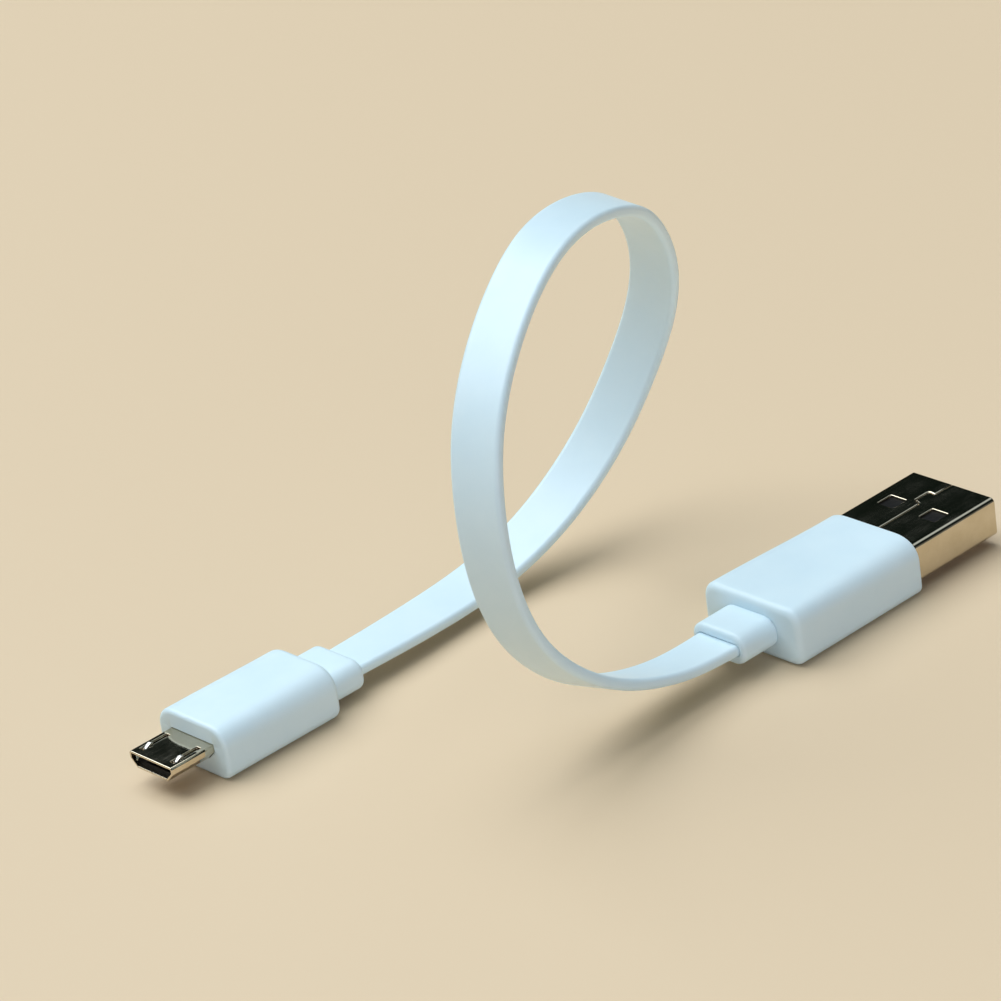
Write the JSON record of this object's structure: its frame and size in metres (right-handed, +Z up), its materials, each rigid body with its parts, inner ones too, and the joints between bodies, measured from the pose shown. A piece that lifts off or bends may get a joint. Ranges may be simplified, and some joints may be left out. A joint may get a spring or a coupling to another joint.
{
  "type": "charging cable",
  "caption": "Short white charging cable: rectangular Type-A plug and small Type-B plug, with soft grips and strain reliefs, joined by a flat cord bent into one standing loop.",
  "frame": {"origin": "bottom centre of the box round the two plugs, on the surface they lie on", "axes": "+X along both plugs' axes towards the Type-A plug's tip, +Y from the Type-A plug towards the small plug, +Z up"},
  "size_m": [0.088, 0.0448, 0.0503],
  "materials": {
    "nickel_shell": "bright nickel plate with fine handling marks",
    "tongue_plastic": "matt moulded plastic",
    "gold_plate": "thin gold plate, polished where the mate rubs",
    "solder": "dull grey solder",
    "inner_plastic": "matt hard plastic",
    "white_grip": "cool white thermoplastic, satin, with a fine moulded grain",
    "white_jacket": "cool white soft thermoplastic, smooth satin",
    "latch_steel": "thin spring steel strip",
    "wire_red": "smooth insulation",
    "wire_white": "smooth insulation",
    "wire_green": "smooth insulation",
    "wire_black": "smooth insulation"
  },
  "bodies": {
    "cable": {"usb_a_shell": "nickel_shell", "usb_a_tongue": "tongue_plastic", "usb_a_contact_vbus": "gold_plate", "usb_a_contact_data_minus": "gold_plate", "usb_a_contact_data_plus": "gold_plate", "usb_a_contact_ground": "gold_plate", "usb_a_solder_joints": "solder", "usb_a_inner_mould": "inner_plastic", "usb_a_overmould": "white_grip", "usb_a_strain_relief": "white_grip", "micro_b_shell": "nickel_shell", "micro_b_tongue": "tongue_plastic", "micro_b_contact_vbus": "gold_plate", "micro_b_contact_data_minus": "gold_plate", "micro_b_contact_data_plus": "gold_plate", "micro_b_contact_id": "gold_plate", "micro_b_contact_ground": "gold_plate", "micro_b_latch_base": "latch_steel", "micro_b_solder_joints": "solder", "micro_b_inner_mould": "inner_plastic", "micro_b_overmould": "white_grip", "micro_b_strain_relief": "white_grip", "cord_jacket": "white_jacket", "wire_red": "wire_red", "wire_white": "wire_white", "wire_green": "wire_green", "wire_black": "wire_black"},
    "latch_left": {"micro_b_latch_left": "latch_steel"},
    "latch_right": {"micro_b_latch_right": "latch_steel"}
  },
  "joints": [
    {"name": "micro_b_latch_left_flex", "type": "hinge", "parent": "cable", "child": "latch_left", "pos_m": [-0.0353, 0.017, 0.0035], "axis": [0, -1, 0], "range_deg": [0, 2.6], "stiffness_Nm_per_rad": 0.0002},
    {"name": "micro_b_latch_right_flex", "type": "hinge", "parent": "cable", "child": "latch_right", "pos_m": [-0.0353, 0.017, 0.0035], "axis": [0, -1, 0], "range_deg": [0, 2.6], "stiffness_Nm_per_rad": 0.0002}
  ]
}
